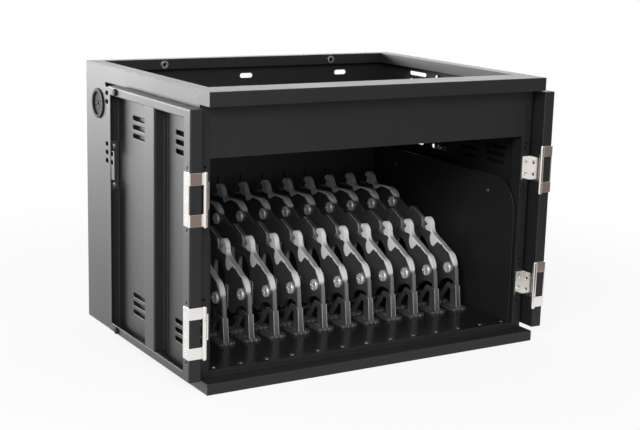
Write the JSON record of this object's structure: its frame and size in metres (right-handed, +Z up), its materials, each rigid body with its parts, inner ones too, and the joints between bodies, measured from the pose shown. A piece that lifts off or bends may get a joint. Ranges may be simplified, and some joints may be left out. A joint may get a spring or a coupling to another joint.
{
  "type": "charging cabinet",
  "caption": "Black sheet-steel tablet charging cabinet with an open top ring, two fold-back doors on wrap hinges, a cam lock and a row of upright moulded dividers on a raised floor.",
  "frame": {"origin": "centre of the footprint on the underside of the base pan", "axes": "+Z up, -Y out of the door opening, +X to the right as seen from the front"},
  "size_m": [0.5494, 0.385, 0.366],
  "materials": {
    "powder_coat": "fine semi-gloss black powder coat",
    "hinge_nickel": "bright nickel plate",
    "zinc": "bright zinc plate",
    "lock_nickel": "bright nickel plate",
    "strike_steel": "plain zinc plate",
    "rubber": "matt black rubber",
    "strip_coat": "dark grey powder coat",
    "divider_plastic": "glossy black moulding"
  },
  "bodies": {
    "cabinet": {"base_pan": "powder_coat", "front_sill": "powder_coat", "side_panel_left": "powder_coat", "side_panel_right": "powder_coat", "back_panel": "powder_coat", "top_rail_front": "powder_coat", "top_rail_left": "powder_coat", "top_rail_right": "powder_coat", "top_rail_rear": "powder_coat", "rivet_nuts": "zinc", "header_panel": "powder_coat", "front_post_left": "powder_coat", "front_post_right": "powder_coat", "device_floor": "powder_coat", "floor_rivets": "zinc", "side_liner_left": "powder_coat", "side_liner_right": "powder_coat", "liner_screws": "zinc", "liner_standoffs": "zinc", "back_liner": "powder_coat", "equipment_shelf": "powder_coat", "outlet_strip": "strip_coat", "cable_grommet": "rubber", "hinge_leaves_left": "hinge_nickel", "hinge_leaves_right": "hinge_nickel", "hinge_leaf_screws": "zinc", "divider_bolts": "zinc", "tail_screws": "zinc", "divider_01": "divider_plastic", "divider_02": "divider_plastic", "divider_03": "divider_plastic", "divider_04": "divider_plastic", "divider_05": "divider_plastic", "divider_06": "divider_plastic", "divider_07": "divider_plastic", "divider_08": "divider_plastic", "divider_09": "divider_plastic", "divider_10": "divider_plastic", "divider_11": "divider_plastic", "divider_12": "divider_plastic"},
    "left_door": {"left_door_pan": "powder_coat", "left_door_stiffener": "powder_coat", "left_door_bumpers": "rubber", "left_hinge_wraps": "hinge_nickel", "left_hinge_pins": "hinge_nickel", "left_wrap_screws": "zinc", "strike_plate": "strike_steel", "strike_rivets": "zinc"},
    "right_door": {"right_door_pan": "powder_coat", "right_door_stiffener": "powder_coat", "right_door_bumpers": "rubber", "right_hinge_wraps": "hinge_nickel", "right_hinge_pins": "hinge_nickel", "right_wrap_screws": "zinc", "lock_housing": "lock_nickel", "lock_nut": "zinc"},
    "lock": {"lock_plug": "lock_nickel", "lock_cam": "lock_nickel", "cam_nut": "zinc"}
  },
  "joints": [
    {"name": "left_door_hinge", "type": "hinge", "parent": "cabinet", "child": "left_door", "pos_m": [-0.25275, -0.1893, 0.159], "axis": [0, 0, 1], "range_deg": [0, 270]},
    {"name": "right_door_hinge", "type": "hinge", "parent": "cabinet", "child": "right_door", "pos_m": [0.25275, -0.1893, 0.159], "axis": [0, 0, -1], "range_deg": [0, 270]},
    {"name": "lock_turn", "type": "hinge", "parent": "right_door", "child": "lock", "pos_m": [0.2555, 0.03995, 0.23], "axis": [-1, 0, 0], "range_deg": [0, 90]}
  ]
}
